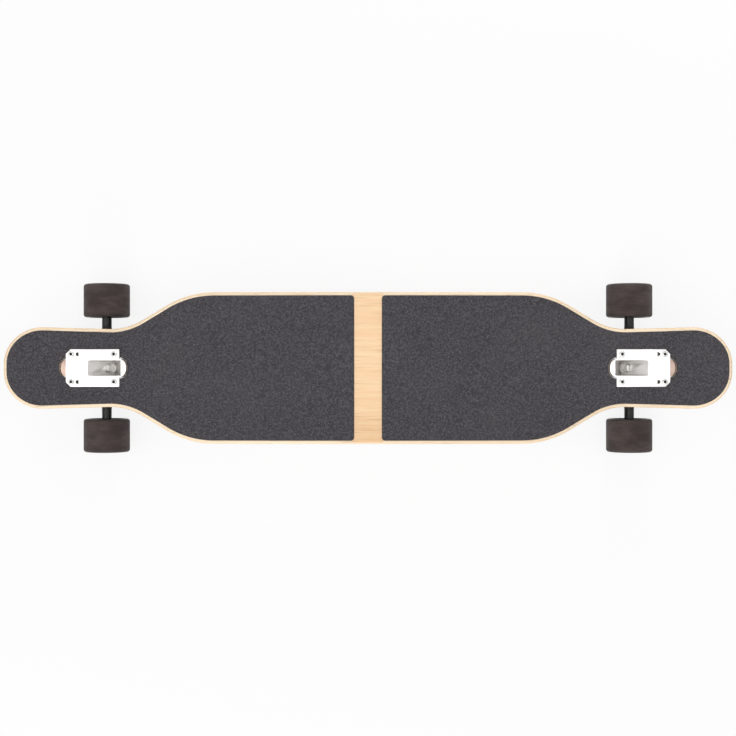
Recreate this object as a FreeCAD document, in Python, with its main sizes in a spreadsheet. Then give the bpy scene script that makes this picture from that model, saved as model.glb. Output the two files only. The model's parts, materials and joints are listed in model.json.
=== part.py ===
import FreeCAD, Part
import math
import os
import re
import Sketcher
from FreeCAD import Placement, Rotation, Vector

# A drop-through longboard: a cambered wooden deck on two reverse-kingpin trucks and four wheels.
# Frame: X along the board with the front at +X, Y across, Z up, origin on the floor under the middle.

# Driving dimensions in millimetres and degrees.
DIMENSIONS = {
    # Deck: plan outline, side profile and dished cross-section.
    "deck_length": 1080,
    "deck_width": 225,
    "deck_thickness": 12.5,
    "nose_length": 179,
    "nose_width": 125,
    "nose_flat": 15,
    "neck_width": 115,
    "neck_radius": 90,
    "shoulder_length": 94,
    "shoulder_radius": 140,
    "edge_radius": 3.5,
    "camber_rise": 14.2,
    "camber_length": 179,
    "camber_flat": 8.5,
    "camber_setback": 66,
    "camber_ease": 2,
    "dip_radius": 700,
    "kick_length": 60,
    "kick_radius": 150,
    "kick_angle": 18,
    "concave_flat": 70,
    "concave_lip": 7.2,
    "concave_angle": 11,
    "trim_margin": 6,
    "waste_border": 24,
    # Grip tape: two sheets with a bare stripe of wood between them.
    "grip_thickness": 0.8,
    "glue_gap": 0.05,
    "grip_rim": 5,
    "grip_corner_radius": 5,
    "stripe_width": 41,
    # Truck mounting: bolt pattern, cut-out and baseplate flange.
    "axle_overhang": 140,
    "pattern_offset": 10,
    "bolt_spacing_long": 63.5,
    "bolt_spacing_short": 53.95,
    "bolt_spacing_wide": 41.3,
    "bolt_shank": 4.8,
    "bolt_hole_clearance": 0.35,
    "bolt_thread_clearance": 0.05,
    "bolt_head_width": 9,
    "bolt_head_height": 2.8,
    "bolt_tail": 2,
    "bolt_nut_flats": 9.5,
    "bolt_nut_height": 4.5,
    "cutout_clearance": 1.75,
    "flange_margin_long": 7.9,
    "flange_margin_wide": 7.25,
    "flange_thickness": 6,
    "flange_chamfer": 7,
    # Baseplate casting below the flange.
    "steer_angle": 50,
    "seat_reach": 17,
    "pivot_reach": 48,
    "trough_width": 28.5,
    "trough_flat": 3.5,
    "trough_wall": 2.75,
    "trough_nose": 49.7,
    "nose_wall": 5,
    "nose_wall_angle": 48.3,
    "seat_plate": 8,
    "cavity_nose": 7.7,
    "cavity_round": 2.5,
    "rib_width": 4.5,
    "rib_recess": 1.2,
    "mouth_setback": 6,
    "mouth_wall": 1.3,
    "boss_cover": 6.79,
    "boss_wall": 5.1,
    "boss_drop": 1.2,
    # Kingpin stack, measured along the kingpin from the middle of the hanger ring.
    "kingpin_diameter": 9.5,
    "kingpin_clearance": 0.15,
    "kingpin_head_flats": 14.2,
    "kingpin_head_height": 6,
    "kingpin_head_clearance": 0.25,
    "kingpin_tail": 3,
    "kingpin_nut_flats": 14.3,
    "kingpin_nut_height": 8.5,
    "boardside_height": 15,
    "boardside_diameter": 27.5,
    "boardside_washer": 1.5,
    "roadside_height": 14,
    "roadside_diameter": 27,
    "roadside_tip": 20,
    "roadside_washer": 2,
    "bushing_round": 2,
    "boardside_lip": 3,
    "roadside_lip": 1.5,
    "washer_wall": 1,
    "washer_flare": 1,
    "washer_clearance": 0.25,
    # Hanger and its pivot.
    "hanger_width": 180,
    "tube_diameter": 16.4,
    "tube_end_diameter": 14.8,
    "tube_end_length": 26,
    "tube_taper": 12,
    "ring_wall": 2.8,
    "ring_height": 16,
    "seat_depth": 4.5,
    "seat_clearance": 0.45,
    "ring_hole": 15,
    "wing_thickness": 11,
    "wing_waist": 21,
    "wing_waist_reach": 11,
    "wing_radius": 30,
    "wing_shoulder": 12,
    "neck_base_diameter": 21,
    "pin_diameter": 11,
    "pin_length": 12,
    "pin_end": 5.5,
    "pin_round": 4.5,
    "pivot_clearance": 0.3,
    "pivot_cup_wall": 2.8,
    "pivot_cup_floor": 2.8,
    # Axle, bearings and wheels.
    "axle_diameter": 8,
    "axle_clearance": 0.05,
    "axle_tail": 1,
    "axle_nut_flats": 13,
    "axle_nut_height": 7,
    "speed_washer_rim": 1.85,
    "speed_washer_thickness": 1,
    "bearing_diameter": 22,
    "bearing_width": 7,
    "inner_race_wall": 2,
    "outer_race_wall": 1.4,
    "groove_depth": 0.21,
    "ball_clearance": 0.095,
    "ball_count": 7,
    "shield_thickness": 0.4,
    "shield_inset": 0.3,
    "shield_clearance": 0.15,
    "spacer_length": 10,
    "spacer_wall": 1.25,
    "wheel_diameter": 70,
    "wheel_width": 51,
    "wheel_lip_radius": 4.5,
    "rim_width": 7,
    "rim_step": 3,
    "rim_step_radius": 2.5,
    "dish_rise": 3.2,
    "dish_radius": 4.5,
    "core_wall": 5.8,
    "core_lip": 0.5,
    "core_step": 1.8,
}

# Places that several pieces share, worked out from the driving dimensions. A truck's own places are
# measured along the board from its axle (u) and up from the floor (z).
DERIVED = {
    # Steering axis, from the middle of the hanger ring to the pivot.
    "axle_height": "wheel_diameter / 2",
    "cos_steer": "cos(steer_angle)",
    "sin_steer": "sin(steer_angle)",
    "ring_u": "seat_reach * cos_steer",
    "ring_z": "axle_height + seat_reach * sin_steer",
    "pin_tip": "pivot_reach + pin_end",
    "pin_start": "pivot_reach - pin_length",
    "cup_bore": "pin_diameter / 2 + pivot_clearance",
    "cup_radius": "cup_bore + pivot_cup_wall",
    "cup_bore_end": "pin_tip + pivot_clearance",
    "cup_end": "cup_bore_end + pivot_cup_floor",
    "mouth_reach": "pivot_reach - mouth_setback",
    "mouth_half": "cup_radius + mouth_wall",
    "mouth_u": "ring_u + mouth_reach * cos_steer",
    "mouth_z": "ring_z + mouth_reach * sin_steer",
    "boss_u": "ring_u + cup_end * cos_steer + cup_radius * sin_steer + boss_wall",
    # Flange and deck levels.
    "flange_z": "mouth_z + mouth_half * cos_steer + boss_cover",
    "flange_top": "flange_z + flange_thickness",
    "flange_inner_u": "pattern_offset - bolt_spacing_long / 2 - flange_margin_long",
    "flange_outer_u": "pattern_offset + bolt_spacing_long / 2 + flange_margin_long",
    "flange_half": "bolt_spacing_wide / 2 + flange_margin_wide",
    "bolt_hole": "bolt_shank / 2 + bolt_hole_clearance",
    "deck_height": "flange_z - grip_thickness - glue_gap",
    "deck_bottom": "deck_height - deck_thickness",
    "crown_height": "deck_height + camber_rise",
    # Deck outline, side profile and dish.
    "truck_x": "deck_length / 2 - axle_overhang",
    "neck_start": "deck_length / 2 - nose_length",
    "platform_half": "neck_start - shoulder_length",
    "shoulder_lean": "tan(atan((deck_width - neck_width) / 2 / shoulder_length) / 2)",
    "nose_corner_radius": "(nose_width - nose_flat) / 2",
    "camber_end": "truck_x - camber_setback",
    "camber_start": "camber_end - camber_length",
    "camber_angle": "atan(camber_rise / camber_length)",
    "dip_run": "dip_radius * tan(camber_angle / 2)",
    "camber_run": "min(camber_start - camber_flat; camber_length - dip_run - camber_ease)",
    "camber_radius": "camber_run / tan(camber_angle / 2)",
    "kick_start": "deck_length / 2 - kick_length",
    "slab_half": "deck_width / 2 + trim_margin",
    "concave_run": "(slab_half - concave_flat / 2 - concave_lip) / (1 + cos(concave_angle))",
    "concave_radius": "concave_run / tan(concave_angle / 2)",
    "concave_knee": "concave_flat / 2 + concave_run",
    "concave_rise": "(slab_half - concave_knee) * tan(concave_angle)",
    # Kingpin stack.
    "kingpin_bore": "kingpin_diameter / 2 + kingpin_clearance",
    "seat_floor": "ring_height / 2 - seat_depth",
    "boardside_top": "seat_floor + boardside_height",
    "seat_level": "boardside_top + boardside_washer",
    "head_level": "seat_level + seat_plate",
    "head_lean": "kingpin_head_height * tan(steer_angle + nose_wall_angle - 90)",
    "head_room": "kingpin_head_flats / 2 + kingpin_head_clearance + head_lean",
    "roadside_low": "0 - seat_floor - roadside_height",
    "nut_level": "roadside_low - roadside_washer",
    "nut_low": "nut_level - kingpin_nut_height",
    # Trough: its inner low corner clears the kingpin's head, and its outer one is a wall further out.
    "trough_half": "trough_width / 2",
    "trough_corner": "(trough_width - trough_flat) / 2",
    "cavity_width": "trough_width - 2 * trough_wall",
    "wall_spread": "sin(nose_wall_angle + steer_angle)",
    "cavity_low_u": "ring_u - head_room * cos_steer - head_level * sin_steer",
    "cavity_low_z": "ring_z - head_room * sin_steer + head_level * cos_steer",
    "vertex_u": "cavity_low_u - (nose_wall * cos_steer - seat_plate * cos(nose_wall_angle)) / wall_spread",
    "vertex_z": "cavity_low_z - (nose_wall * sin_steer + seat_plate * sin(nose_wall_angle)) / wall_spread",
    "nose_u": "pattern_offset - trough_nose",
    "shoulder_z": "vertex_z + (vertex_u - nose_u) * tan(nose_wall_angle)",
    "ramp_u": "vertex_u + (flange_z - vertex_z) / tan(steer_angle)",
    # Hanger.
    "hanger_half": "hanger_width / 2",
    "wing_half": "hanger_half - tube_end_length - tube_taper",
    "ring_radius": "boardside_diameter / 2 + seat_clearance + ring_wall",
    # Axle line.
    "axle_bore": "axle_diameter / 2 + axle_clearance",
    "inner_bearing_y": "hanger_half + speed_washer_thickness",
    "wheel_y": "inner_bearing_y + bearing_width + spacer_length / 2",
    "bearing_face": "spacer_length / 2 + bearing_width",
    "outer_washer_y": "wheel_y + bearing_face",
    "nut_y": "outer_washer_y + speed_washer_thickness",
    "axle_end": "nut_y + axle_nut_height + axle_tail",
    # Bearings and wheels, as radii.
    "inner_race": "axle_bore + inner_race_wall",
    "outer_race": "bearing_diameter / 2 - outer_race_wall",
    "ball_circle": "(inner_race + outer_race) / 2",
    "ball_radius": "(outer_race - inner_race) / 2 + groove_depth",
    "groove_radius": "ball_radius + ball_clearance",
    "rim_reach": "wheel_diameter / 2 - rim_width",
    "dish_reach": "rim_reach - rim_step",
    "core_reach": "bearing_diameter / 2 + core_wall",
    "web_bore": "bearing_diameter / 2 - core_step",
}

doc = FreeCAD.newDocument("longboard")
sheet = doc.addObject("Spreadsheet::Sheet", "dims")
CELLS = {**{name: str(size) for name, size in DIMENSIONS.items()},
         **{name: "=" + formula for name, formula in DERIVED.items()}}
for row, (alias, content) in enumerate(CELLS.items(), start=1):
    sheet.set("A%d" % row, alias)
    sheet.set("B%d" % row, content)
    sheet.setAlias("B%d" % row, alias)
doc.recompute()

nodes = {}


def size(formula):
    """The value of a formula of sheet cells."""
    return float(sheet.evalExpression(formula))


def qualified(formula):
    """The formula as another object of the document writes it."""
    return re.sub(r"[a-z_]+", lambda word: "dims." * (word[0] in CELLS) + word[0], formula)


def bind(item, target, formula):
    item.setExpression(target, qualified(formula))


def origin_plane(body, role):
    return next(item for item in body.Origin.OriginFeatures if item.Role == role)


def new_sketch(body, name, role, offset=None):
    sketch = body.newObject("Sketcher::SketchObject", name)
    sketch.AttachmentSupport = [(origin_plane(body, role), "")]
    sketch.MapMode = "FlatFace"
    if offset:
        sketch.AttachmentOffset = offset
    return sketch


def fix_point(sketch, geometry, position, corner):
    """Holds a sketch point at a pair of formulas."""
    for kind, axis, formula in (("DistanceX", -2, corner[0]), ("DistanceY", -1, corner[1])):
        if formula == "0":
            sketch.addConstraint(Sketcher.Constraint("PointOnObject", geometry, position, axis))
            continue
        rule = Sketcher.Constraint(kind, -1, 1, geometry, position, size(formula))
        bind(sketch, "Constraints[%d]" % sketch.addConstraint(rule), formula)


class Corner:
    """A corner of an outline, with the two ends of its rounding where it has a radius."""

    def __init__(self, before, here, after):
        self.formulas = here
        self.point, start, end = (Vector(size(c[0]), size(c[1]), 0) for c in (here, before, after))
        self.round = len(here) > 2
        self.start = self.end = self.point
        if self.round:
            self.radius = size(here[2])
            inward = (start - self.point).normalize()
            outward = (end - self.point).normalize()
            half = inward.getAngle(outward) / 2
            self.start = self.point + inward * (self.radius / math.tan(half))
            self.end = self.point + outward * (self.radius / math.tan(half))
            self.centre = self.point + (inward + outward).normalize() * (self.radius / math.sin(half))
            self.turns_left = inward.cross(outward).z < 0


def draw(sketch, corners, closed=True):
    """An outline of straight lines through corners (x, y) or rounded corners (x, y, radius)."""
    count = len(corners)
    shaped = [Corner(corners[i - 1], corners[i], corners[(i + 1) % count]) for i in range(count)]
    runs = range(count if closed else count - 1)
    lines = [sketch.addGeometry(Part.LineSegment(shaped[i].end, shaped[(i + 1) % count].start))
             for i in runs]
    if not closed:
        fix_point(sketch, lines[0], 1, corners[0])
        fix_point(sketch, lines[-1], 2, corners[-1])
    for i in range(count) if closed else range(1, count - 1):
        corner, into, out = shaped[i], lines[i - 1], lines[i]
        if not corner.round:
            sketch.addConstraint(Sketcher.Constraint("Coincident", into, 2, out, 1))
            fix_point(sketch, into, 2, corner.formulas)
            continue
        ends = (corner.start, corner.end) if corner.turns_left else (corner.end, corner.start)
        angles = [math.atan2(*reversed((p - corner.centre)[:2])) for p in ends]
        circle = Part.Circle(corner.centre, Vector(0, 0, 1), corner.radius)
        arc = sketch.addGeometry(Part.ArcOfCircle(circle, *angles))
        first, last = (1, 2) if corner.turns_left else (2, 1)
        mark = sketch.addGeometry(Part.Point(corner.point), True)
        fix_point(sketch, mark, 1, corner.formulas)
        sketch.addConstraint([Sketcher.Constraint("PointOnObject", mark, 1, into),
                              Sketcher.Constraint("PointOnObject", mark, 1, out),
                              Sketcher.Constraint("Tangent", into, 2, arc, first),
                              Sketcher.Constraint("Tangent", out, 1, arc, last)])
        rule = sketch.addConstraint(Sketcher.Constraint("Radius", arc, corner.radius))
        bind(sketch, "Constraints[%d]" % rule, corner.formulas[2])


def draw_circles(sketch, circles):
    """Circles (x, y, radius)."""
    for circle in circles:
        centre = Vector(size(circle[0]), size(circle[1]), 0)
        ring = sketch.addGeometry(Part.Circle(centre, Vector(0, 0, 1), size(circle[2])))
        fix_point(sketch, ring, 3, circle)
        rule = sketch.addConstraint(Sketcher.Constraint("Radius", ring, size(circle[2])))
        bind(sketch, "Constraints[%d]" % rule, circle[2])


def new_body(label, placement=Placement()):
    body = doc.addObject("PartDesign::Body", label)
    body.Placement = placement
    nodes[label] = body
    return body


def feature(body, kind, name, sketch, **settings):
    item = body.newObject("PartDesign::" + kind, name)
    item.Profile = sketch
    for setting, content in settings.items():
        setattr(item, setting, content)
    return item


def pad(body, name, sketch, length, side="Symmetric"):
    bind(feature(body, "Pad", name, sketch, SideType=side), "Length", length)


def cut(body, kind, name, sketch, length=None, **settings):
    """A pocket or groove, which must take something away. Without a length it goes right through."""
    doc.recompute()
    before = body.Shape.Volume
    item = feature(body, kind, name, sketch, **settings)
    if kind == "Pocket":
        item.SideType = "Symmetric"
        item.Type = "Length" if length else "ThroughAll"
    if length:
        bind(item, "Length", length)
    doc.recompute()
    if not body.Shape.Volume < before:
        raise RuntimeError("%s of %s cuts nothing" % (name, body.Label))
    return item


def turned(label, corners, placement=Placement(), axis="V_Axis"):
    """A piece turned about its own Z, from corners (radius, height), or about X with H_Axis."""
    body = new_body(label, placement)
    sketch = new_sketch(body, label + "_profile", "XZ_Plane")
    draw(sketch, corners)
    feature(body, "Revolution", label + "_turn", sketch, ReferenceAxis=(sketch, [axis]), Angle=360)
    return body


def hexagon(flats):
    reach = "%s / 2 / cos(30)" % flats
    return [("%s * cos(%d)" % (reach, turn), "%s * sin(%d)" % (reach, turn)) for turn in range(30, 390, 60)]


def hex_nut(label, flats, bore, height, placement=Placement()):
    """A hexagon nut standing on its own XY plane."""
    body = new_body(label, placement)
    sketch = new_sketch(body, label + "_outline", "XY_Plane")
    draw(sketch, hexagon(flats))
    draw_circles(sketch, [("0", "0", bore)])
    pad(body, label + "_pad", sketch, height, "One side")
    return body


def group(label, master, placements):
    """Several copies of one piece as one node. The master itself is not a node."""
    doc.recompute()
    shape = master.Shape.copy()
    shape.Placement = Placement()
    node = doc.addObject("Part::Feature", label)
    node.Shape = Part.makeCompound([shape.transformed(place.toMatrix()) for place in placements])
    node.Placement = Placement()
    nodes[label] = node
    nodes.pop(master.Label, None)


def shifted(x="0", y="0", z="0"):
    return Placement(Vector(size(x), size(y), size(z)), Rotation())


HALF_TURN = Placement(Vector(), Rotation(Vector(0, 0, 1), 180))
ENDS = {"front": shifted(x="truck_x"), "rear": HALF_TURN * shifted(x="truck_x")}
AXLEWISE = Rotation(Vector(1, 0, 0), -90)


# Deck.

def plan_corners(start, inset, start_radius=None):
    """Half of the plan outline from a cross-line to the nose, set in from the deck's edge."""
    half = "deck_width / 2 - %s" % inset
    neck = "neck_width / 2 - %s" % inset
    nose = "nose_width / 2 - %s" % inset
    rounding = (start_radius,) if start_radius else ()
    side = [
        (start, half) + rounding,
        ("platform_half - %s * shoulder_lean" % inset, half, "shoulder_radius - %s" % inset),
        ("neck_start - %s * shoulder_lean" % inset, neck, "neck_radius + %s" % inset),
        ("deck_length / 2 - %s" % inset, nose, "nose_corner_radius - %s" % inset),
    ]
    other = [(corner[0], "0 - (%s)" % corner[1]) + corner[2:] for corner in reversed(side)]
    return side + other


def swept_slab(body, top, bottom):
    """A dished strip along the side profile, between two levels above the deck's top face."""
    label = body.Label
    section = new_sketch(body, label + "_section", "YZ_Plane")

    def level(rise):
        lip = "crown_height + concave_rise + (%s) / cos(concave_angle)" % rise
        knee = "concave_knee - (%s) * tan(concave_angle / 2)" % rise
        flat = "crown_height + %s" % rise
        bend = "concave_radius - (%s)" % rise
        return [("slab_half", lip), (knee, flat, bend),
                ("0 - (%s)" % knee, flat, bend), ("0 - slab_half", lip)]

    draw(section, level(top) + level(bottom)[::-1])
    spine = new_sketch(body, label + "_spine", "XZ_Plane")
    tip_x = "deck_length / 2 + trim_margin"
    draw(spine, [
        ("0", "crown_height"),
        ("camber_start", "crown_height", "camber_radius"),
        ("camber_end", "deck_height", "dip_radius"),
        ("kick_start", "deck_height", "kick_radius"),
        (tip_x, "deck_height + (%s - kick_start) * tan(kick_angle)" % tip_x),
    ], closed=False)
    feature(body, "AdditivePipe", label + "_sweep", section, Mode="Standard", Spine=(spine, []))


def trim_to_plan(body, corners):
    """Takes away all that lies outside an outline."""
    sketch = new_sketch(body, body.Label + "_plan", "XY_Plane")
    far_x = "deck_length / 2 + waste_border"
    far_y = "deck_width / 2 + waste_border"
    near_x = "0 - waste_border"
    draw(sketch, [(near_x, "0 - (%s)" % far_y), (far_x, "0 - (%s)" % far_y), (far_x, far_y), (near_x, far_y)])
    draw(sketch, corners)
    return cut(body, "Pocket", body.Label + "_trim", sketch)


def bolt_places(pattern_x, with_spare):
    """Bolt centres of one truck: four in use and, where asked, the two spare ones."""
    steps = ["bolt_spacing_long / 2", "0 - bolt_spacing_long / 2"]
    if with_spare:
        steps.append("bolt_spacing_short - bolt_spacing_long / 2")
    sides = ("bolt_spacing_wide / 2", "0 - bolt_spacing_wide / 2")
    return [("%s + %s" % (pattern_x, step), side) for step in steps for side in sides]


def truck_openings(body):
    """The cut-out and the bolt holes of one truck."""
    label = body.Label
    slot = new_sketch(body, label + "_cutout", "XY_Plane")
    inner = "truck_x + nose_u - cutout_clearance"
    outer = "truck_x + boss_u + cutout_clearance"
    half = "trough_half + cutout_clearance"
    corner = "trough_corner + cutout_clearance"
    draw(slot, [(inner, "0 - (%s)" % half, corner), (outer, "0 - (%s)" % half, corner),
                (outer, half, corner), (inner, half, corner)])
    cut(body, "Pocket", label + "_slot", slot)
    holes = new_sketch(body, label + "_holes", "XY_Plane")
    draw_circles(holes, [place + ("bolt_hole",) for place in bolt_places("truck_x + pattern_offset", True)])
    cut(body, "Pocket", label + "_drilling", holes)


def outline_edges(shape):
    """The edges where the upright sides of half a deck meet its top and bottom, away from the middle."""
    upright = 0.2
    side_faces = [face for face in shape.Faces
                  if abs(face.normalAt(*face.Surface.parameter(face.CenterOfMass)).z) < upright]
    names = []
    for number, edge in enumerate(shape.Edges, start=1):
        middle = edge.valueAt((edge.FirstParameter + edge.LastParameter) / 2)
        beside = [face for face in side_faces if any(edge.isSame(other) for other in face.Edges)]
        if len(beside) == 1 and middle.x > size("trim_margin"):
            names.append("Edge%d" % number)
    return names


deck = new_body("deck")
swept_slab(deck, "0", "0 - deck_thickness")
blank = trim_to_plan(deck, plan_corners("0 - trim_margin", "0"))
rounding = deck.newObject("PartDesign::Fillet", "deck_edges")
rounding.Base = (blank, outline_edges(blank.Shape))
bind(rounding, "Radius", "edge_radius")
doc.recompute()
truck_openings(deck)
mirror = deck.newObject("PartDesign::Mirrored", "deck_mirror")
mirror.TransformMode = "Whole shape"
mirror.MirrorPlane = (origin_plane(deck, "YZ_Plane"), [""])
deck.Tip = mirror


# Grip tape.

for end, turn in (("front", Placement()), ("rear", HALF_TURN)):
    grip = new_body("grip_tape_" + end, turn)
    swept_slab(grip, "glue_gap + grip_thickness", "glue_gap")
    trim_to_plan(grip, plan_corners("stripe_width / 2", "grip_rim", "grip_corner_radius"))
    truck_openings(grip)


# Baseplates.

def raised(start_u, start_z, rise):
    """A point of the side profile, moved along the kingpin and away from the road."""
    return "%s - (%s) * sin_steer" % (start_u, rise), "%s + (%s) * cos_steer" % (start_z, rise)


def inclined(rise="0"):
    """The kingpin frame: X up the steering axis, Z up the kingpin, origin in the hanger ring."""
    turn = Rotation(Vector(0, 1, 0), -size("steer_angle"))
    place = Placement(Vector(size("ring_u"), 0, size("ring_z")), turn)
    return place * shifted(z=rise)


def inclined_profile():
    """The kingpin frame as an offset within the XZ plane, whose own normal points to -Y."""
    turn = Rotation(Vector(0, 0, 1), size("steer_angle"))
    return Placement(Vector(size("ring_u"), size("ring_z"), 0), turn)


def inside_trough(wall, plate, start_u, top_z):
    """The trough's side outline, set in from its nose wall and from its kingpin seat."""
    low_u = "(vertex_u + (%s * cos_steer - %s * cos(nose_wall_angle)) / wall_spread)" % (wall, plate)
    low_z = "(vertex_z + (%s * sin_steer + %s * sin(nose_wall_angle)) / wall_spread)" % (wall, plate)
    wall_z = "%s + (%s - (%s)) * tan(nose_wall_angle)" % (low_z, low_u, start_u)
    floor_u = "%s + (%s - %s) / tan(steer_angle)" % (low_u, top_z, low_z)
    return [(start_u, top_z), (start_u, wall_z), (low_u, low_z), (floor_u, top_z)]


TOUCHING = 1e-6


def round_trough(body, label, trough):
    """The cast fillets between the trough's side walls and its sloping floor."""
    doc.recompute()
    wall = size("cavity_width / 2")
    floor = Vector(size("cos_steer"), 0, size("sin_steer"))
    corners = []
    for number, edge in enumerate(trough.Shape.Edges, start=1):
        middle = (edge.FirstParameter + edge.LastParameter) / 2
        on_wall = math.isclose(abs(edge.valueAt(middle).y), wall, abs_tol=TOUCHING)
        along_floor = math.isclose(abs(edge.tangentAt(middle).dot(floor)), 1, abs_tol=TOUCHING)
        if on_wall and along_floor:
            corners.append("Edge%d" % number)
    item = body.newObject("PartDesign::Fillet", label + "_trough_fillets")
    item.Base = (trough, corners)
    bind(item, "Radius", "cavity_round")
    doc.recompute()


def make_baseplate(end):
    """A casting: flange on the deck, open trough down to the kingpin seat, boss for the pivot."""
    label = end + "_baseplate"
    body = new_body(label, ENDS[end])
    plan = new_sketch(body, label + "_plan", "XY_Plane", shifted(z="vertex_z - trim_margin"))
    draw(plan, [("nose_u", "0 - trough_half", "trough_corner"),
                ("boss_u", "0 - trough_half", "trough_corner"),
                ("boss_u", "trough_half", "trough_corner"),
                ("nose_u", "trough_half", "trough_corner")])
    pad(body, label + "_block", plan, "flange_top - vertex_z + trim_margin", "One side")
    below = "vertex_z - 2 * trim_margin"
    clear_u = "boss_u + trim_margin"
    mouth_inner = raised("mouth_u", "mouth_z", "mouth_half")
    mouth_outer = raised("mouth_u", "mouth_z", "0 - mouth_half")
    road_side = new_sketch(body, label + "_road_side", "XZ_Plane")
    draw(road_side, [("nose_u - trim_margin", "shoulder_z"), ("nose_u", "shoulder_z"),
                     ("vertex_u", "vertex_z"), ("ramp_u", "flange_z"), mouth_inner, mouth_outer,
                     (clear_u, mouth_outer[1]), (clear_u, below), ("nose_u - trim_margin", below)])
    cut(body, "Pocket", label + "_underside", road_side)
    for name, face in (("_left_rib", "0 - trough_half"), ("_right_rib", "trough_half")):
        web = new_sketch(body, label + name, "XZ_Plane", shifted(z=face))
        draw(web, inside_trough("rib_width", "rib_width", "nose_u + trough_corner", "(flange_z - rib_width)"))
        cut(body, "Pocket", label + name + "_recess", web, "2 * rib_recess")
    open_top = "(flange_top + trim_margin)"
    boss_top = "deck_height - boss_drop"
    step = new_sketch(body, label + "_step", "XZ_Plane")
    draw(step, [("flange_outer_u", boss_top), (clear_u, boss_top),
                (clear_u, open_top), ("flange_outer_u", open_top)])
    cut(body, "Pocket", label + "_boss_top", step)
    flange = new_sketch(body, label + "_flange", "XY_Plane", shifted(z="flange_z"))
    draw(flange, [("flange_inner_u", "0 - flange_half"),
                  ("flange_outer_u - flange_chamfer", "0 - flange_half"),
                  ("flange_outer_u", "flange_chamfer - flange_half"),
                  ("flange_outer_u", "flange_half - flange_chamfer"),
                  ("flange_outer_u - flange_chamfer", "flange_half"), ("flange_inner_u", "flange_half")])
    pad(body, label + "_plate", flange, "flange_thickness", "One side")
    cavity = new_sketch(body, label + "_cavity", "XZ_Plane")
    draw(cavity, inside_trough("nose_wall", "seat_plate", "nose_u + cavity_nose", open_top))
    round_trough(body, label, cut(body, "Pocket", label + "_trough", cavity, "cavity_width"))
    holes = new_sketch(body, label + "_holes", "XY_Plane")
    draw_circles(holes, [place + ("bolt_hole",) for place in bolt_places("pattern_offset", True)])
    cut(body, "Pocket", label + "_drilling", holes)
    bore = new_sketch(body, label + "_kingpin_bore", "XY_Plane", inclined("seat_level"))
    draw_circles(bore, [("0", "0", "kingpin_bore")])
    cut(body, "Pocket", label + "_kingpin_hole", bore, "2 * (seat_plate + trim_margin)")
    socket = new_sketch(body, label + "_pivot_socket", "XZ_Plane", inclined_profile())
    draw(socket, [("mouth_reach - trim_margin", "0"), ("cup_end", "0"), ("cup_end", "cup_radius"),
                  ("mouth_reach - trim_margin", "cup_radius")])
    cut(body, "Groove", label + "_pivot_hole", socket, ReferenceAxis=(socket, ["H_Axis"]), Angle=360)


# Kingpin stacks and pivot cups.

def cup_washer(label, radius, inside, outside, lip, placement):
    """A dished washer round the end of a bushing, from its inner face to its flared lip."""
    fit = radius + " + washer_clearance"
    turned(label, [("kingpin_bore", outside), (fit + " + washer_wall", outside),
                   (fit + " + washer_wall + washer_flare", lip), (fit + " + washer_flare", lip),
                   (fit, inside), ("kingpin_bore", inside)], placement)


def make_kingpin_stack(end):
    """Everything on the kingpin, from its head in the trough to its nut, and the cup of the pivot."""
    seat = ENDS[end] * inclined()
    shaft = "kingpin_diameter / 2"
    bore = "kingpin_bore"
    tail = "nut_low - kingpin_tail"
    kingpin = turned(end + "_kingpin", [
        ("0", tail), (shaft, tail), (shaft, "head_level"), ("0", "head_level")], seat)
    head = new_sketch(kingpin, end + "_kingpin_head", "XY_Plane", shifted(z="head_level"))
    draw(head, hexagon("kingpin_head_flats"))
    pad(kingpin, end + "_kingpin_head_pad", head, "kingpin_head_height", "One side")
    wide = "boardside_diameter / 2"
    turned(end + "_boardside_bushing", [
        (bore, "seat_floor"), (wide, "seat_floor", "bushing_round"),
        (wide, "boardside_top", "bushing_round"), (bore, "boardside_top")], seat)
    base = "roadside_diameter / 2"
    tip = "roadside_tip / 2"
    turned(end + "_roadside_bushing", [
        (bore, "0 - seat_floor"), (base, "0 - seat_floor"), (base, "0 - seat_floor - seat_depth"),
        (tip, "roadside_low"), (bore, "roadside_low")], seat)
    cup_washer(end + "_boardside_washer", wide, "boardside_top", "seat_level",
               "boardside_top - boardside_lip", seat)
    cup_washer(end + "_roadside_washer", tip, "roadside_low", "nut_level",
               "roadside_low + roadside_lip", seat)
    hex_nut(end + "_kingpin_nut", "kingpin_nut_flats", bore, "kingpin_nut_height",
            seat * shifted(z="nut_low"))
    turned(end + "_pivot_cup", [
        ("mouth_reach", "cup_bore"), ("cup_bore_end", "cup_bore"), ("cup_bore_end", "0"),
        ("cup_end", "0"), ("cup_end", "cup_radius"), ("mouth_reach", "cup_radius")], seat, "H_Axis")


# Hangers.

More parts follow.
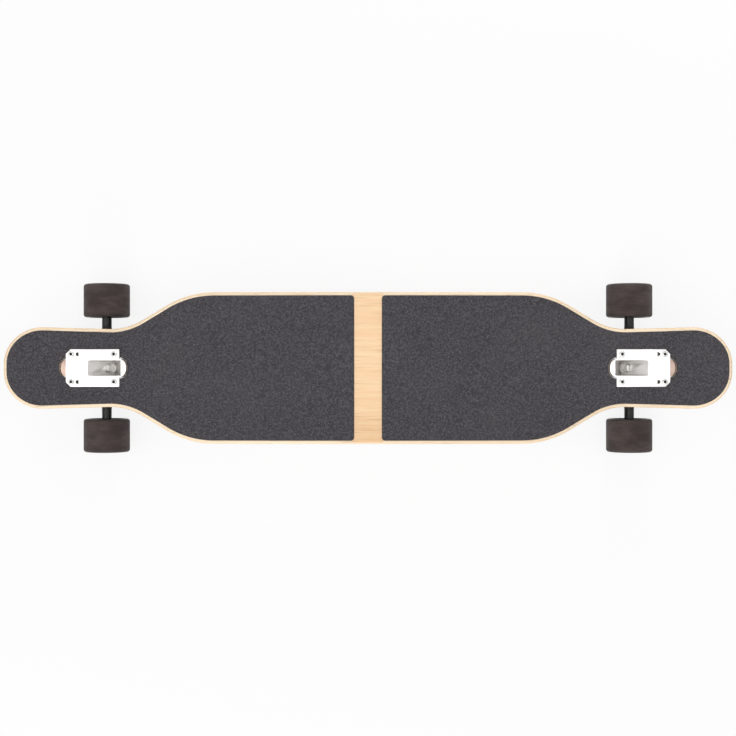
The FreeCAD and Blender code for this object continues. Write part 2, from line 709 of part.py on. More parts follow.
def make_hanger(end):
    """Axle tube, swept wing, bushing ring and the tapered pivot pin, in the kingpin frame."""
    label = end + "_hanger"
    body = new_body(label, ENDS[end] * inclined())
    tube = new_sketch(body, label + "_tube", "XY_Plane", shifted(x="0 - seat_reach"))
    thin = "tube_end_diameter / 2"
    thick = "tube_diameter / 2"
    draw(tube, [("0", "0 - hanger_half"), (thin, "0 - hanger_half"), (thin, "tube_end_length - hanger_half"),
                (thick, "0 - wing_half"), (thick, "wing_half"), (thin, "hanger_half - tube_end_length"),
                (thin, "hanger_half"), ("0", "hanger_half")])
    feature(body, "Revolution", label + "_tube_turn", tube, ReferenceAxis=(tube, ["V_Axis"]), Angle=360)
    ring = new_sketch(body, label + "_ring", "XY_Plane")
    draw_circles(ring, [("0", "0", "ring_radius")])
    pad(body, label + "_ring_pad", ring, "ring_height")
    wing = new_sketch(body, label + "_wing", "XY_Plane")
    waist_x = "wing_waist_reach - seat_reach"
    draw(wing, [("0 - seat_reach", "0 - wing_half"), (waist_x, "0 - wing_waist", "wing_radius"),
                ("wing_shoulder", "0 - wing_shoulder"), ("wing_shoulder", "wing_shoulder"),
                (waist_x, "wing_waist", "wing_radius"), ("0 - seat_reach", "wing_half")])
    pad(body, label + "_wing_pad", wing, "wing_thickness")
    neck = new_sketch(body, label + "_neck", "XY_Plane")
    pin = "pin_diameter / 2"
    draw(neck, [("wing_shoulder", "0"), ("pin_tip", "0"), ("pin_tip", pin, "pin_round"),
                ("pin_start", pin), ("ring_radius", "neck_base_diameter / 2"),
                ("wing_shoulder", "neck_base_diameter / 2")])
    feature(body, "Revolution", label + "_neck_turn", neck, ReferenceAxis=(neck, ["H_Axis"]), Angle=360)
    seats = new_sketch(body, label + "_seats", "XZ_Plane")
    upper = "boardside_diameter / 2 + seat_clearance"
    lower = "roadside_diameter / 2 + seat_clearance"
    top = "ring_height / 2 + trim_margin"
    draw(seats, [("0", "0 - (%s)" % top), (lower, "0 - (%s)" % top), (lower, "0 - seat_floor"),
                 ("ring_hole / 2", "0 - seat_floor"), ("ring_hole / 2", "seat_floor"),
                 (upper, "seat_floor"), (upper, top), ("0", top)])
    cut(body, "Groove", label + "_seat_cut", seats, ReferenceAxis=(seats, ["V_Axis"]), Angle=360)
    bore = new_sketch(body, label + "_axle_bore", "XZ_Plane")
    draw_circles(bore, [("0 - seat_reach", "0", "axle_bore")])
    cut(body, "Pocket", label + "_axle_hole", bore)


# Axles, nuts, washers and the bearings' fixed parts.

def make_axle_set(end):
    axle_line = ENDS[end] * shifted(z="axle_height") * Placement(Vector(), AXLEWISE)
    other_side = Placement(Vector(), Rotation(Vector(1, 0, 0), 180))
    sides = [axle_line, axle_line * other_side]
    shaft = "axle_diameter / 2"
    turned(end + "_axle", [
        ("0", "0 - axle_end"), (shaft, "0 - axle_end"), (shaft, "axle_end"), ("0", "axle_end")], axle_line)
    nut = hex_nut(end + "_axle_nut_master", "axle_nut_flats", "axle_bore", "axle_nut_height")
    group(end + "_axle_nuts", nut, [side * shifted(z="nut_y") for side in sides])
    rim = "axle_bore + speed_washer_rim"
    washer = turned(end + "_speed_washer_master", [
        ("axle_bore", "0"), (rim, "0"),
        (rim, "speed_washer_thickness"), ("axle_bore", "speed_washer_thickness")])
    group(end + "_speed_washers", washer, [side * shifted(z=place) for side in sides
                                           for place in ("hanger_half", "outer_washer_y")])
    sleeve = "axle_bore + spacer_wall"
    spacer = turned(end + "_spacer_master", [
        ("axle_bore", "0 - spacer_length / 2"), (sleeve, "0 - spacer_length / 2"),
        (sleeve, "spacer_length / 2"), ("axle_bore", "spacer_length / 2")])
    group(end + "_bearing_spacers", spacer, [side * shifted(z="wheel_y") for side in sides])
    race = make_race(end + "_inner_race_master", "axle_bore", "inner_race")
    group(end + "_bearing_inner_races", race, [side * shifted(z="wheel_y") * place for side in sides
                                               for place in bearing_places()])


def make_race(label, bore, outside):
    """One race of a ball bearing, with its groove."""
    half = "bearing_width / 2"
    body = turned(label, [(bore, "0 - " + half), (outside, "0 - " + half), (outside, half), (bore, half)])
    groove = new_sketch(body, label + "_groove", "XZ_Plane")
    draw_circles(groove, [("ball_circle", "0", "groove_radius")])
    cut(body, "Groove", label + "_groove_cut", groove, ReferenceAxis=(groove, ["V_Axis"]), Angle=360)
    return body


def bearing_places():
    """The middles of a wheel's two bearings along its axle."""
    step = "(spacer_length + bearing_width) / 2"
    return [shifted(z=step), shifted(z="0 - " + step)]


# Wheels.

def make_wheel(end, side, toward):
    """Urethane tyre on a moulded core, with two ball bearings."""
    name = "%s_%s_" % (end, side)
    middle = ENDS[end].Base + Vector(0, toward * size("wheel_y"), size("axle_height"))
    hub = Placement(middle, AXLEWISE)
    half = "wheel_width / 2"
    lip = "bearing_face + core_lip"
    rim = [("core_reach", lip), ("dish_reach", half + " - dish_rise", "dish_radius"),
           ("rim_reach", half, "rim_step_radius"), ("wheel_diameter / 2", half, "wheel_lip_radius")]
    turned(name + "tyre", rim + [(c[0], "0 - (%s)" % c[1]) + c[2:] for c in reversed(rim)], hub)
    seat = "bearing_diameter / 2"
    web = "spacer_length / 2"
    turned(name + "core", [
        (seat, lip), ("core_reach", lip), ("core_reach", "0 - (%s)" % lip), (seat, "0 - (%s)" % lip),
        (seat, "0 - " + web), ("web_bore", "0 - " + web), ("web_bore", web), (seat, web)], hub)
    race = make_race(name + "outer_race_master", "outer_race", seat)
    group(name + "bearing_outer_races", race, [hub * place for place in bearing_places()])
    ball = doc.addObject("Part::Sphere", name + "ball_master")
    bind(ball, "Radius", "ball_radius")
    steps = [Rotation(Vector(0, 0, 1), 360 * i / size("ball_count")) for i in range(int(size("ball_count")))]
    group(name + "bearing_balls", ball, [hub * place * Placement(Vector(), step) * shifted(x="ball_circle")
                                         for place in bearing_places() for step in steps])
    opening = "inner_race + shield_clearance"
    shield = turned(name + "shield_master", [
        (opening, "0"), ("outer_race", "0"),
        ("outer_race", "shield_thickness"), (opening, "shield_thickness")])
    faces = ["bearing_width / 2 - shield_inset - shield_thickness", "shield_inset - bearing_width / 2"]
    group(name + "bearing_shields", shield, [hub * place * shifted(z=face)
                                             for place in bearing_places() for face in faces])


# Deck bolts and their nuts.

def make_deck_bolts(end):
    places = [ENDS[end] * shifted(x=u, y=y) for u, y in bolt_places("pattern_offset", False)]
    shank = "bolt_shank / 2"
    head = "bolt_head_width / 2"
    tail = "deck_bottom - bolt_nut_height - bolt_tail"
    bolt = turned(end + "_deck_bolt_master", [
        ("0", tail), (shank, tail), (shank, "flange_top"), (head, "flange_top"),
        (head, "flange_top + bolt_head_height", "bolt_head_height / 2"),
        ("0", "flange_top + bolt_head_height")])
    group(end + "_deck_bolts", bolt, places)
    thread = shank + " + bolt_thread_clearance"
    nut = hex_nut(end + "_deck_nut_master", "bolt_nut_flats", thread, "bolt_nut_height")
    group(end + "_deck_nuts", nut, [place * shifted(z="deck_bottom - bolt_nut_height") for place in places])


for end in ENDS:
    make_baseplate(end)
    make_kingpin_stack(end)
    make_hanger(end)
    make_axle_set(end)
    make_deck_bolts(end)
    for side, toward in (("left", 1), ("right", -1)):
        make_wheel(end, side, toward)

doc.recompute()
for item in doc.Objects:
    if {"Invalid", "Error"} & set(item.State):
        raise RuntimeError("%s failed: %s" % (item.Name, item.State))
for label, item in nodes.items():
    if item.Shape.isNull() or not item.Shape.isValid():
        raise RuntimeError("%s has no valid shape" % label)

os.makedirs("parts", exist_ok=True)
for label, item in nodes.items():
    item.Shape.exportStep("parts/%s.step" % label)
    print("%-32s %3d solids %12.1f mm3" % (label, len(item.Shape.Solids), item.Shape.Volume))
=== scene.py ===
import json
import math

import bpy
from mathutils import Matrix, Vector

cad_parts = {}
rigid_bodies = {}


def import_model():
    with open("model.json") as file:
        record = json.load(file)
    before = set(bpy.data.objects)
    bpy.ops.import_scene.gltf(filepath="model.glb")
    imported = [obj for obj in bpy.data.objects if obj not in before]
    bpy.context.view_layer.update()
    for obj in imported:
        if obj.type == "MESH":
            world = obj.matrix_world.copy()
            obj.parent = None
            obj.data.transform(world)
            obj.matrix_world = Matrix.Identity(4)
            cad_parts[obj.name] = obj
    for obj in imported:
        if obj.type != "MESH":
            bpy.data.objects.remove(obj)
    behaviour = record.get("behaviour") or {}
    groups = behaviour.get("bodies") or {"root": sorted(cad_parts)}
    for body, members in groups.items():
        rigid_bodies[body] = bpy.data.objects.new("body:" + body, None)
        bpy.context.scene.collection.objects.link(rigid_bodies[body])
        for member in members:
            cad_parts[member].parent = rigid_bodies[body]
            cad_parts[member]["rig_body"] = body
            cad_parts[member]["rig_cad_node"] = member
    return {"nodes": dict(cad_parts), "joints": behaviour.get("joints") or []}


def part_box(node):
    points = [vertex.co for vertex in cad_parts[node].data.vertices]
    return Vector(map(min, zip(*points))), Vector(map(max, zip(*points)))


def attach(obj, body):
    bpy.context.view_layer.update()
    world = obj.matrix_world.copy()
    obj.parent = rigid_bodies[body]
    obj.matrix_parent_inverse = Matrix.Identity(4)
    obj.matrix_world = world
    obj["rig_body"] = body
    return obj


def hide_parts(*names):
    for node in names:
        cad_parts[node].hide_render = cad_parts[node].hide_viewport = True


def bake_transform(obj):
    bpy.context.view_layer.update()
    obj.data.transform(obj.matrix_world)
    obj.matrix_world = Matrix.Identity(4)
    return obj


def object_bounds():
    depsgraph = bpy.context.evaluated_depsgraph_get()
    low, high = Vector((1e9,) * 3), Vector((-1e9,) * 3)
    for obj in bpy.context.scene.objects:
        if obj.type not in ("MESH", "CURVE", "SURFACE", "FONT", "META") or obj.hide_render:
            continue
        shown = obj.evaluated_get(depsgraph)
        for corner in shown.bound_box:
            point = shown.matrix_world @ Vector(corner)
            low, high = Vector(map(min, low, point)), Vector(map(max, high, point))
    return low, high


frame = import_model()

cad_low, cad_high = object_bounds()
nodes = frame["nodes"]
joints = {joint["name"]: joint for joint in frame["joints"]}
bpy.ops.object.select_all(action="DESELECT")

# Deck.
# Eight maple plies pressed with glue into a dished, cambered board with kicked ends, cut out for the trucks.
# The edge is rounded and lacquered bare, and the underside carries a screen-printed fade of round dots.


class Value:
    """One output of a node. Python's operators on it add Math nodes."""

    def __init__(self, owner, socket):
        self.owner = owner
        self.socket = socket

    def math(self, operation, *operands):
        return self.owner.node("Math", {"operation": operation}, dict(enumerate(operands)))

    def __add__(self, other):
        return self.math("ADD", self, other)

    def __radd__(self, other):
        return self.math("ADD", other, self)

    def __sub__(self, other):
        return self.math("SUBTRACT", self, other)

    def __rsub__(self, other):
        return self.math("SUBTRACT", other, self)

    def __mul__(self, other):
        return self.math("MULTIPLY", self, other)

    def __rmul__(self, other):
        return self.math("MULTIPLY", other, self)

    def __truediv__(self, other):
        return self.math("DIVIDE", self, other)

    def __rtruediv__(self, other):
        return self.math("DIVIDE", other, self)

    def __pow__(self, other):
        return self.math("POWER", self, other)

    def __abs__(self):
        return self.math("ABSOLUTE", self)

    def least(self, other):
        return self.math("MINIMUM", self, other)

    def most(self, other):
        return self.math("MAXIMUM", self, other)

    def part(self):
        return self.math("FRACT", self)

    def whole(self):
        return self.math("FLOOR", self)

    def step(self, low, high):
        """Rises smoothly from 0 at low to 1 at high."""
        ramp = {"interpolation_type": "SMOOTHSTEP"}
        return self.owner.node("MapRange", ramp, {"Value": self, "From Min": low, "From Max": high})


class Nodes:
    """The nodes of a material or a world."""

    def __init__(self, tree):
        self.tree = tree

    def node(self, kind, settings=None, sockets=None, output=0):
        """Adds a node, sets it up, fills or links its sockets, and gives one output or several."""
        made = self.tree.nodes.new("ShaderNode" + kind)
        for name, content in (settings or {}).items():
            setattr(made, name, content)
        for place, content in (sockets or {}).items():
            self.feed(made.inputs[place], content)
        if isinstance(output, tuple):
            return [Value(self, made.outputs[place]) for place in output]
        return Value(self, made.outputs[output])

    def feed(self, socket, content):
        """Links a node's output to a socket, or sets the socket to a constant."""
        if isinstance(content, Value):
            self.tree.links.new(content.socket, socket)
        else:
            socket.default_value = content


class Finish(Nodes):
    """A material in the making, with one principled shader."""

    def __init__(self, name, **constants):
        self.material = bpy.data.materials.new(name)
        self.material.use_nodes = True
        super().__init__(self.material.node_tree)
        self.shader = self.tree.nodes["Principled BSDF"]
        self.shade(**constants)

    def shade(self, **sockets):
        """Sets or links the shader's sockets, named with underscores for spaces."""
        for name, content in sockets.items():
            self.feed(self.shader.inputs[name.replace("_", " ")], content)

    def spot(self, scale=(1, 1, 1)):
        """The place on the piece in metres, stretched by a scale."""
        place = self.node("TexCoord", output="Object")
        return place if scale == (1, 1, 1) else self.node("Mapping", None, {"Vector": place, "Scale": scale})

    def axes(self):
        """The place on the piece as three values."""
        return self.node("SeparateXYZ", None, {"Vector": self.spot()}, output=(0, 1, 2))

    def noise(self, scale, stretch=(1, 1, 1), detail=2.0, roughness=0.5):
        sockets = {"Vector": self.spot(stretch), "Scale": scale, "Detail": detail, "Roughness": roughness}
        return self.node("TexNoise", None, sockets)

    def blend(self, mask, low, high):
        """One colour where the mask is 0 and another where it is 1."""
        return self.node("Mix", {"data_type": "RGBA"}, {0: mask, 6: low, 7: high}, output=2)

    def bump(self, height, distance):
        """A surface raised by a height from 0 to 1 times a distance in metres."""
        return self.node("Bump", None, {"Height": height, "Distance": distance})


def span(along, across):
    """The distance that two values at right angles make up."""
    return (along ** 2 + across ** 2) ** 0.5


def colour(red, green, blue):
    """A screen colour of 0 to 255 as the shader's linear one."""
    def linear(level):
        share = level / 255
        return share / 12.92 if share <= 0.04045 else ((share + 0.055) / 1.055) ** 2.4
    return linear(red), linear(green), linear(blue), 1.0


def dress(piece, finish):
    """Gives a piece its only material."""
    piece.data.materials.clear()
    piece.data.materials.append(finish.material)


def select_only(piece):
    bpy.ops.object.select_all(action="DESELECT")
    piece.select_set(True)
    bpy.context.view_layer.objects.active = piece


SMOOTH_UP_TO = math.radians(35)
MERGE_REACH = 0.000005


def smooth(piece):
    """Shades a piece smooth, apart from its sharp edges."""
    select_only(piece)
    bpy.ops.object.shade_smooth_by_angle(angle=SMOOTH_UP_TO)


def stand_in(node, name):
    """A piece that starts as a joined-up copy of a solid and takes its place."""
    piece = bpy.data.objects.new(name, nodes[node].data.copy())
    bpy.context.scene.collection.objects.link(piece)
    select_only(piece)
    bpy.ops.object.mode_set(mode="EDIT")
    bpy.ops.mesh.select_all(action="SELECT")
    bpy.ops.mesh.customdata_custom_splitnormals_clear()
    bpy.ops.mesh.remove_doubles(threshold=MERGE_REACH)
    bpy.ops.object.mode_set(mode="OBJECT")
    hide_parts(node)
    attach(piece, nodes[node]["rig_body"])
    return piece


deck = stand_in("deck", "deck_plies")
bpy.context.view_layer.update()


def deck_height(x, y, upward):
    """The height of the deck's bottom face, met looking upward, or of its top face."""
    start = Vector((x, y, cad_low.z - 1 if upward else cad_high.z + 1))
    place = deck.ray_cast(start, Vector((0, 0, 1 if upward else -1)))[1]
    return place.z


# Heights are read beside the cut-outs, where the board is flat across, and the kick runs on straight.
DECK_FLAT_LINE = 0.030
DECK_TIP_LIMIT = 0.525
DECK_EDGE_LIMIT = 0.105
DECK_STEP = 0.02


def deck_level(x, upward):
    """The height of a face along the board, leaving out its dish."""
    held = max(-DECK_TIP_LIMIT, min(DECK_TIP_LIMIT, x))
    height = deck_height(held, DECK_FLAT_LINE, upward)
    inside = deck_height(math.copysign(DECK_TIP_LIMIT - DECK_STEP, x), DECK_FLAT_LINE, upward)
    return height + max(abs(x) - DECK_TIP_LIMIT, 0) / DECK_STEP * (height - inside)


def dish_rise(y):
    """How far the dish has risen at a distance from the middle line."""
    held = min(abs(y), DECK_EDGE_LIMIT)
    crown = deck_height(0, 0, False)
    rise = deck_height(0, held, False) - crown
    inside = deck_height(0, DECK_EDGE_LIMIT - DECK_STEP, False) - crown
    return rise + max(abs(y) - DECK_EDGE_LIMIT, 0) / DECK_STEP * (rise - inside)


# Each point keeps its height between the bottom face at 0 and the top face at 1, which tells its ply.
ply = deck.data.attributes.new("ply", "FLOAT", "POINT")
for vertex, share in zip(deck.data.vertices, ply.data):
    top = deck_level(vertex.co.x, False)
    thickness = top - deck_level(vertex.co.x, True)
    share.value = 1 - (top + dish_rise(vertex.co.y) - vertex.co.z) / thickness
smooth(deck)

PLY_COUNT = 8
FIBRE_DEPTH = 0.00006
STRIPE_HALF = 0.022
STRIPE_BLUR = 0.001
WOOD_PALE = colour(255, 223, 180)
WOOD_MID = colour(247, 203, 156)
WOOD_DARK = colour(219, 168, 116)
WOOD_EDGE = colour(254, 225, 184)
RIM_PAINTED_HIGHLIGHT = colour(255, 238, 209)
GLUE_LINE = colour(188, 138, 92)
DECK_SEAT_PAINTED_SHADE = colour(22, 20, 20)
INK_BLACK = colour(26, 23, 23)
INK_GREY = colour(120, 115, 113)
INK_WHITE = colour(236, 233, 231)

maple = Finish("lacquered_maple", Coat_Roughness=0.08)
ply_share = maple.node("Attribute", {"attribute_name": "ply"}, output="Fac")
deck_x, deck_y = maple.axes()[:2]
fibre = maple.noise(90, (0.05, 1, 1), detail=6, roughness=0.65)
figure = maple.noise(14, (0.09, 1, 1), detail=3)
pores = maple.noise(620, (0.035, 1, 1), detail=2).step(0.56, 0.70)
layer = ply_share * PLY_COUNT
layer_tone = maple.node("TexWhiteNoise", {"noise_dimensions": "1D"}, {"W": layer.whole() + 0.5})
seam = abs(layer.part() - 0.5).step(0.40, 0.50)
on_edge = ply_share.step(0.02, 0.10) * (1 - ply_share.step(0.90, 0.985))
tone = maple.blend(fibre.step(0.30, 0.72), WOOD_MID, WOOD_PALE)
tone = maple.blend(figure.step(0.35, 0.75) * 0.45, tone, WOOD_DARK)
tone = maple.blend(on_edge * 0.75, tone, WOOD_EDGE)
# Painted highlight: the upper rounding of the edge, and the top face outside the bare stripe, are coloured
# paler, standing in for the light from above on the rounded edge.
beside_stripe = abs(deck_x).step(STRIPE_HALF, STRIPE_HALF + STRIPE_BLUR)
rim_highlight = ply_share.step(0.50, 0.85) * beside_stripe.most(1 - ply_share.step(0.95, 0.985))
tone = maple.blend(rim_highlight * 0.7, tone, RIM_PAINTED_HIGHLIGHT)
tone = maple.blend(layer_tone * on_edge * 0.35, tone, WOOD_DARK)
tone = maple.blend(pores * 0.35, tone, GLUE_LINE)
tone = maple.blend(seam * on_edge * 0.6, tone, GLUE_LINE)

# The deck's top under each baseplate's drilled rows is coloured near black: painted shade, so that the spare
# bolt holes look dark.
DRILLED_ROW = 0.0182
ROW_BLUR = 0.0003
DECK_SEAT_SHADE_BLUR = 0.0005
plate_low, plate_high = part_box("front_baseplate")
along_plate = (abs(deck_x).step(plate_low.x, plate_low.x + DECK_SEAT_SHADE_BLUR)
               * (1 - abs(deck_x).step(plate_high.x - DECK_SEAT_SHADE_BLUR, plate_high.x)))
across_plate = (abs(deck_y).step(DRILLED_ROW, DRILLED_ROW + ROW_BLUR)
                * (1 - abs(deck_y).step(plate_high.y - DECK_SEAT_SHADE_BLUR, plate_high.y)))
tone = maple.blend(along_plate * across_plate, tone, DECK_SEAT_PAINTED_SHADE)

# The printed dots sit on a staggered grid and grow from the dark ends towards the pale middle.
DOT_PITCH = 0.0145
DOT_ROW = DOT_PITCH * math.sqrt(3) / 2
DOT_LEAST = 0.06
DOT_GROWTH = 0.50
DOT_BLUR = 0.015
FADE_MIDDLE = 0.10
FADE_REACH = 0.62
FADE_SLANT = 0.9


def dot_distance(shift):
    """Distance from the nearest dot's middle on one of the two interleaved grids, in dot pitches."""
    along = (deck_x / DOT_PITCH + shift).part() - 0.5
    across = ((deck_y / (2 * DOT_ROW) + shift).part() - 0.5) * (2 * DOT_ROW / DOT_PITCH)
    return span(along, across)


fade = 1 - (abs(deck_x - FADE_MIDDLE - deck_y * FADE_SLANT) / FADE_REACH).least(1)
dots = dot_distance(0.0).least(dot_distance(0.5))
dot_radius = fade * DOT_GROWTH + DOT_LEAST
printed = 1 - (dots - dot_radius).step(-DOT_BLUR, DOT_BLUR)
ground = maple.blend(fade.step(0.35, 1.0), INK_BLACK, INK_GREY)
print_colour = maple.blend(printed, ground, INK_WHITE)
underside = 1 - ply_share.step(0.012, 0.05)
maple.shade(Base_Color=maple.blend(underside, tone, print_colour),
            Roughness=0.38 - underside * 0.12 + pores * 0.12 * (1 - underside),
            Coat_Weight=0.25 + underside * 0.75,
            Normal=maple.bump(fibre * (1 - underside) + seam * on_edge * 2, FIBRE_DEPTH))
dress(deck, maple)

# Grip tape.
# Two die-cut sheets of black emery paper, glued to the deck with a bare stripe of wood between them.
# The grit is silicon carbide in black resin, so single grains catch the light.

ENDS = ("front", "rear")
GRIT_DEPTH = 0.0004
GRIP_PIT = colour(28, 26, 29)
GRIP_GRAIN = colour(116, 113, 118)
GRIP_RESIN = colour(48, 46, 50)
GRIP_SCUFF = colour(92, 88, 91)

grip = Finish("emery_grip", Specular_IOR_Level=0.35)
grain = grip.noise(1400, detail=3, roughness=0.8)
clump = grip.noise(330, detail=4, roughness=0.7)
grit = grip.node("TexVoronoi", {"feature": "F1"}, {"Vector": grip.spot(), "Scale": 1500.0})
scuff = grip.noise(9, detail=4)
grip_tone = grip.blend(grain.step(0.34, 0.68), GRIP_PIT, GRIP_GRAIN)
grip_tone = grip.blend(clump.step(0.42, 0.58) * 0.75, grip_tone, GRIP_RESIN)
grip_tone = grip.blend(scuff.step(0.45, 0.75) * 0.18, grip_tone, GRIP_SCUFF)
grip.shade(Base_Color=grip_tone, Roughness=0.95 - grain.step(0.62, 0.80) * 0.35,
           Normal=grip.bump((1 - grit) * 0.6 + clump * 0.6, GRIT_DEPTH))
for end in ENDS:
    dress(nodes["grip_tape_" + end], grip)

# Baseplates.
# One aluminium casting each: a flange on top of the deck, an open trough with recessed sides down to the
# kingpin's seat, and a boss for the pivot. Cast in a sand-smooth die, tumbled, with softened edges.

SHARP_FROM = math.radians(30)
FLAT_WITHIN = math.radians(0.5)


def round_edges(piece, width, segments=2):
    """Rounds a piece's sharp edges."""
    select_only(piece)
    bevel = piece.modifiers.new("edges", "BEVEL")
    bevel.width = width
    bevel.segments = segments
    bevel.limit_method = "ANGLE"
    bevel.angle_limit = SHARP_FROM
    bpy.ops.object.modifier_apply(modifier=bevel.name)
    smooth(piece)


def soften(piece, width):
    """Rounds the edges of a solid's copy, once its flat faces are whole again."""
    select_only(piece)
    bpy.ops.object.mode_set(mode="EDIT")
    bpy.ops.mesh.select_all(action="SELECT")
    bpy.ops.mesh.dissolve_limited(angle_limit=FLAT_WITHIN)
    bpy.ops.object.mode_set(mode="OBJECT")
    round_edges(piece, width)


CAST_EDGE = 0.0006
SAND_DEPTH = 0.00006
FLANGE_THICKNESS = 0.006
HOLE_ROWS = (0.0135, 0.0265)
HOLE_MARGIN = 0.0045
BOSS_BLUR = 0.0015
TOUCHING = 0.00001
CAST_GREY = colour(224, 222, 220)
CAST_PALE = colour(243, 242, 240)
BOSS_PAINTED_SHADE = colour(180, 158, 146)
TROUGH_PAINTED_SHADE = colour(142, 132, 126)
RECESS_PAINTED_SHADE = colour(34, 32, 32)

flange_reach = [vertex.co.x for vertex in nodes["front_baseplate"].data.vertices
                if vertex.co.z > plate_high.z - TOUCHING and abs(vertex.co.y) > HOLE_ROWS[0]]
flange_start = min(flange_reach)
flange_end = max(flange_reach)

cast = Finish("cast_aluminium")
mottle = cast.noise(55, detail=5, roughness=0.6)
sand = cast.noise(900, detail=3, roughness=0.6)
# Painted shade and painted reflection of the wood: the boss beyond the flange, set low in the deck's cut-out,
# is coloured a darker warm grey.
boss = abs(cast.axes()[0]).step(flange_end, flange_end + BOSS_BLUR)
# Painted shade: the faces set into the trough's sides and those of the drilled holes are coloured near black
# and not metal.
recess_shade = cast.node("Attribute", {"attribute_name": "recess_shade"}, output="Fac")
# Painted shade: the walls inside the trough are coloured a darker grey, and are also made rougher.
trough_shade = cast.node("Attribute", {"attribute_name": "trough_shade"}, output="Fac")
cast_tone = cast.blend(mottle.step(0.3, 0.7), CAST_GREY, CAST_PALE)
cast_tone = cast.blend(boss, cast_tone, BOSS_PAINTED_SHADE)
cast_tone = cast.blend(trough_shade, cast_tone, TROUGH_PAINTED_SHADE)
cast.shade(Base_Color=cast.blend(recess_shade, cast_tone, RECESS_PAINTED_SHADE), Metallic=1 - recess_shade,
           Roughness=0.34 + mottle * 0.12 + sand * 0.06 + trough_shade * 0.12, Normal=cast.bump(sand, SAND_DEPTH))

# Faces are told apart by their place, and by how squarely they face along an axis, from 0 to 1.
SQUARE_ON = 0.95
LYING_FLAT = 0.98
TROUGH_FOOT = 0.004
RECESS_DEPTHS = (0.0004, 0.004)


def mark_shaded_recesses(piece):
    """Marks the faces set into the trough's sides and those of the drilled holes, for a near-black colour of
    painted shade.
    """
    mark = piece.data.attributes.new("recess_shade", "FLOAT", "FACE")
    foot = [face for face in piece.data.polygons if face.center.z < plate_low.z + TROUGH_FOOT]
    trough_side = max(abs(face.center.y) for face in foot)
    for face, share in zip(piece.data.polygons, mark.data):
        depth = trough_side - abs(face.center.y)
        sideways = face.normal.y * face.center.y > 0 and abs(face.normal.y) > SQUARE_ON
        set_in = sideways and RECESS_DEPTHS[0] < depth < RECESS_DEPTHS[1]
        in_row = HOLE_ROWS[0] < abs(face.center.y) < HOLE_ROWS[1]
        off_ends = flange_start + HOLE_MARGIN < abs(face.center.x) < flange_end - HOLE_MARGIN
        in_flange = face.center.z > plate_high.z - FLANGE_THICKNESS and abs(face.normal.z) < LYING_FLAT
        drilled = in_row and off_ends and in_flange
        share.value = float(drilled or set_in)


TROUGH_HALF = 0.0117
TROUGH_END = 0.425
TROUGH_LIP = 0.001
WALL_FACING = 0.5
SEAT_FACING = 0.3
UNDER_FACING = -0.05
TROUGH_SEAT_SHADE = 0.5
TROUGH_WALL_SHADE = 0.3
TROUGH_SLOPE_SHADE = 0.3


def mark_trough_shade(piece):
    """Marks the walls inside the trough for a darker grey of painted shade: most on the seat, less on the
    side walls, and on the slope more the higher it lies.
    """
    mark = piece.data.attributes.new("trough_shade", "FLOAT", "CORNER")
    for face in piece.data.polygons:
        outward = math.copysign(face.normal.x, face.normal.x * face.center.x)
        inward = face.normal.y * face.center.y < 0 and abs(face.normal.y) > WALL_FACING
        inside = abs(face.center.y) < TROUGH_HALF and abs(face.center.x) < TROUGH_END
        if not inside or face.center.z > plate_high.z - TROUGH_LIP or face.normal.z < UNDER_FACING:
            continue
        for corner in face.loop_indices:
            level = piece.data.vertices[piece.data.loops[corner].vertex_index].co.z
            grey = TROUGH_SLOPE_SHADE * (level - plate_low.z) / (plate_high.z - plate_low.z)
            if outward > SEAT_FACING:
                grey = TROUGH_SEAT_SHADE
            elif inward:
                grey = TROUGH_WALL_SHADE
            mark.data[corner].value = grey


for end in ENDS:
    baseplate = stand_in(end + "_baseplate", end + "_baseplate_casting")
    soften(baseplate, CAST_EDGE)
    mark_shaded_recesses(baseplate)
    mark_trough_shade(baseplate)
    dress(baseplate, cast)

# Hangers.
# One aluminium casting each: axle tube, swept wing, bushing ring and pivot pin run into one another
# in wide fillets. Finished in gloss black stoved enamel.

FILLET_GRAIN = 0.0007
FILLET_STRENGTH = 0.5
FILLET_PASSES = 14
PEEL_DEPTH = 0.00004
ENAMEL_BLACK = colour(12, 11, 11)
ENAMEL_DUST = colour(40, 38, 37)

enamel = Finish("black_enamel", Specular_IOR_Level=0.2, Coat_Roughness=0.08, Coat_Weight=0.2)
peel = enamel.noise(160, detail=2)
dust = enamel.noise(1400, detail=2).step(0.62, 0.75)
enamel.shade(Base_Color=enamel.blend(dust * 0.2, ENAMEL_BLACK, ENAMEL_DUST),
             Roughness=0.18 + peel * 0.10, Normal=enamel.bump(peel, PEEL_DEPTH))
for end in ENDS:
    hanger = stand_in(end + "_hanger", end + "_hanger_casting")
    select_only(hanger)
    flow = hanger.modifiers.new("casting", "REMESH")
    flow.mode = "VOXEL"
    flow.voxel_size = FILLET_GRAIN
    bpy.ops.object.modifier_apply(modifier=flow.name)
    fillets = hanger.modifiers.new("fillets", "SMOOTH")
    fillets.factor = FILLET_STRENGTH
    fillets.iterations = FILLET_PASSES
    bpy.ops.object.modifier_apply(modifier=fillets.name)
    bpy.ops.object.shade_smooth()
    dress(hanger, enamel)

# Kingpins.
# A steel bolt through each baseplate's seat: a hexagon head down in the trough, and a threaded tail for
# its nut. Zinc-plated and left bright, as are the washers on it and on the axle.

SPIN_SEAM = 0.000001
HEXAGON_FACE = 0.48
HEXAGON_CLEAR = 1.02
HEXAGON_CHAMFER = math.radians(30)
THREAD_DEPTH = 0.0004


def kingpin_frame(end):
    """X up the steering axis, Z up the kingpin, and the origin in the middle of the hanger's ring."""
    along = Vector(joints[end + "_steer"]["axis"])
    side = Vector((0, 1 if end == "front" else -1, 0))
    place = Matrix((along, side, along.cross(side))).transposed().to_4x4()
    place.translation = joints[end + "_steer"]["pos_m"]
    return place


